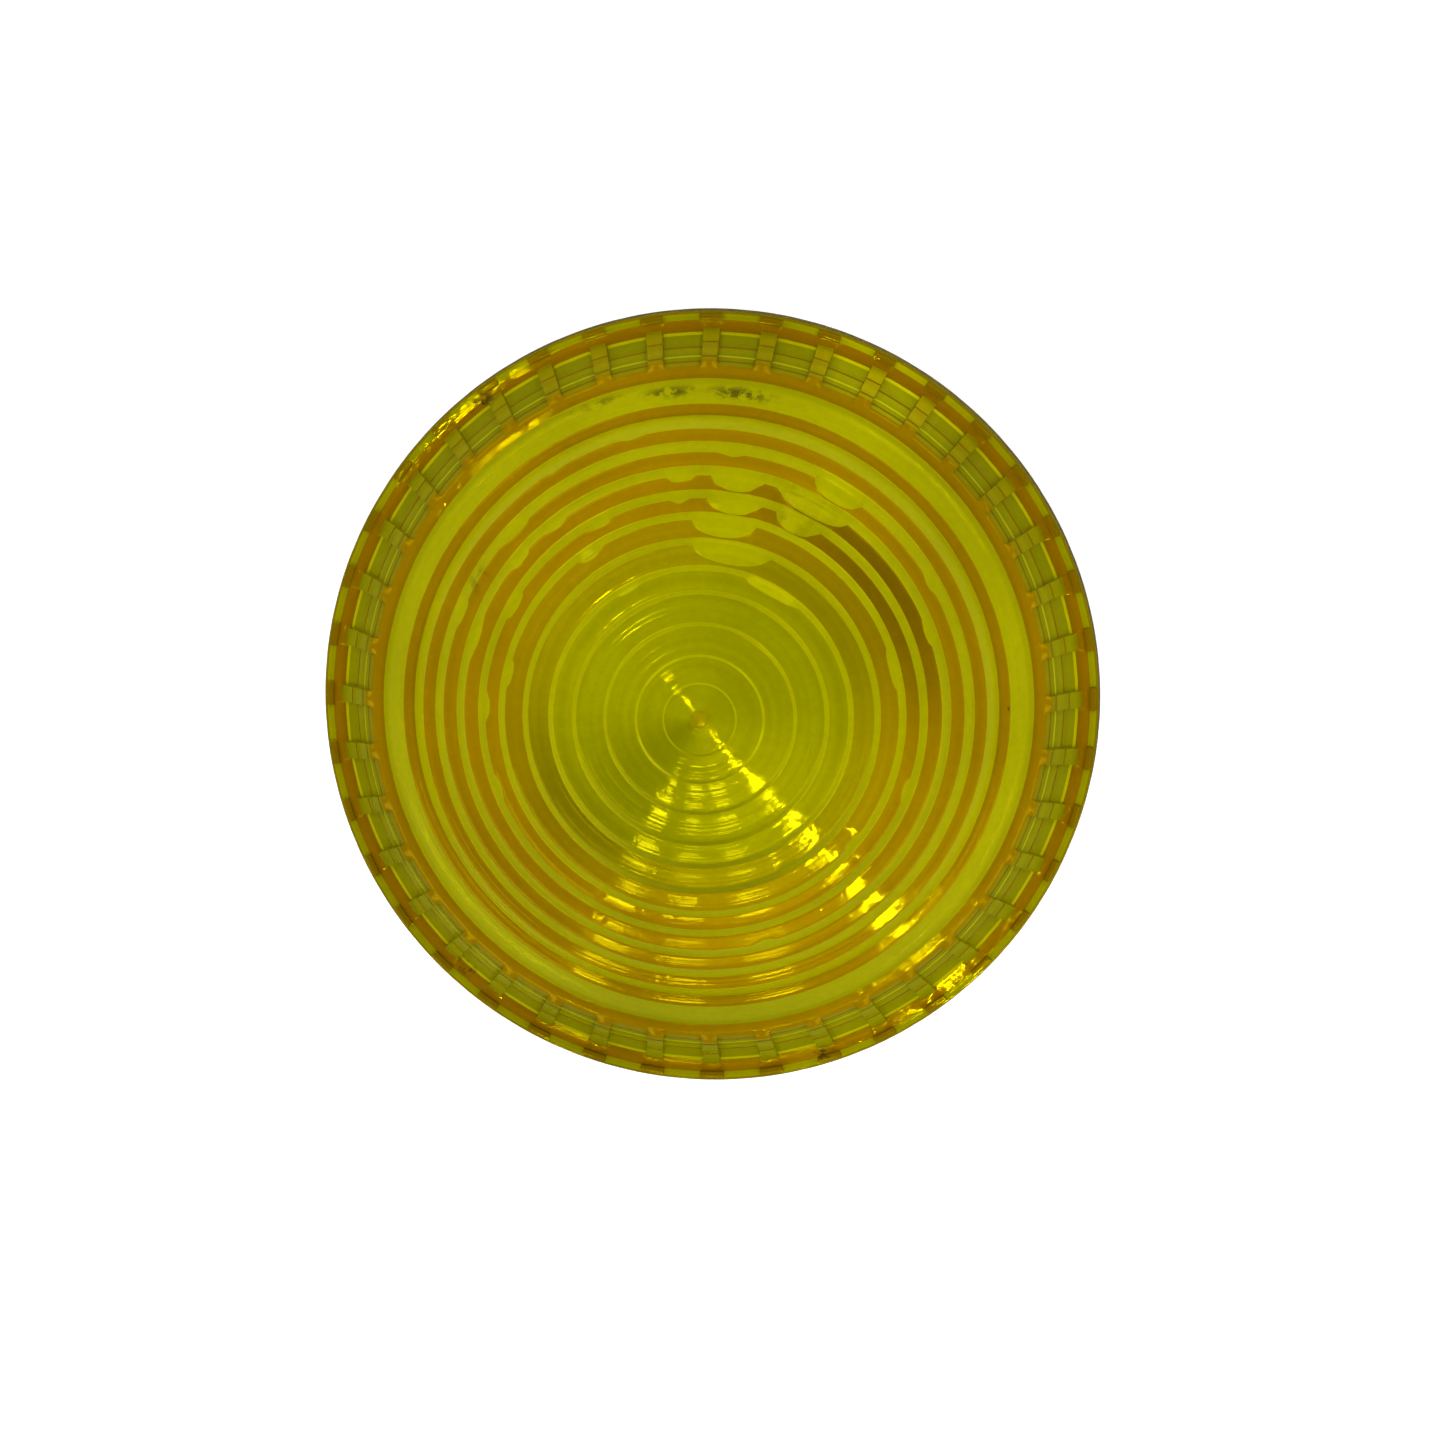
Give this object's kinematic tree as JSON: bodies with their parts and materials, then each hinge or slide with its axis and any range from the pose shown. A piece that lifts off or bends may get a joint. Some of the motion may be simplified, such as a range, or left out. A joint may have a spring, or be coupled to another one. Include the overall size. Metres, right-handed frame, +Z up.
{
  "type": "raised pavement marker",
  "caption": "Round raised pavement marker with a transparent yellow stepped lens that screws onto a lit, battery-powered base, on a rubber pad.",
  "frame": {"origin": "centre of the rubber pad's underside, where the marker rests on the road", "axes": "+Z up along the lens's screw axis; +X along the two cells, from the terminal end to the link plate"},
  "size_m": [0.1, 0.1, 0.0365],
  "materials": {
    "rubber_black": "matte moulded rubber",
    "housing_white": "semi-gloss moulded plastic",
    "brass_insert": "machined",
    "gasket_grey": "smooth silicone",
    "lens_yellow": "transparent, polished",
    "opal_white": "opal, satin",
    "tray_black": "fine texture",
    "cell_jacket": "printed sleeve",
    "contact_steel": "nickel plated",
    "screw_steel": "zinc plated",
    "board_white": "solder mask",
    "led_package": "phosphor dome on a white body",
    "chip_black": "moulded",
    "sensor_dark": "smoked",
    "capacitor_can": "bare can",
    "slider_pale": "satin"
  },
  "bodies": {
    "base": {"base_pad": "rubber_black", "base_housing": "housing_white", "mount_inserts": "brass_insert", "diffuser": "opal_white", "battery_tray": "tray_black", "cell_front": "cell_jacket", "cell_rear": "cell_jacket", "spring_front": "contact_steel", "spring_rear": "contact_steel", "link_plate": "contact_steel", "terminal_plus": "contact_steel", "terminal_minus": "contact_steel", "tray_screws": "screw_steel", "led_board": "board_white", "led_1": "led_package", "led_2": "led_package", "led_3": "led_package", "led_4": "led_package", "led_5": "led_package", "led_6": "led_package", "control_chip": "chip_black", "light_sensor": "sensor_dark", "capacitor": "capacitor_can", "switch_body": "chip_black", "board_screws": "screw_steel"},
    "seal": {"lens_gasket": "gasket_grey"},
    "lens_cap": {"lens": "lens_yellow"},
    "slider": {"switch_slider": "slider_pale"}
  },
  "joints": [
    {"name": "lens_rise", "type": "slide", "parent": "base", "child": "seal", "axis": [0, 0, 1], "range_m": [0, 0.00223]},
    {"name": "lens_turn", "type": "hinge", "parent": "seal", "child": "lens_cap", "pos_m": [0, 0, 0.012], "axis": [0, 0, 1], "range_deg": [0, 100]},
    {"name": "switch_slide", "type": "slide", "parent": "base", "child": "slider", "axis": [1, 0, 0], "range_m": [0, 0.002]}
  ],
  "couplings": [
    {"joint": "lens_rise", "follows": "lens_turn", "m_per_rad": 0.0012732}
  ]
}
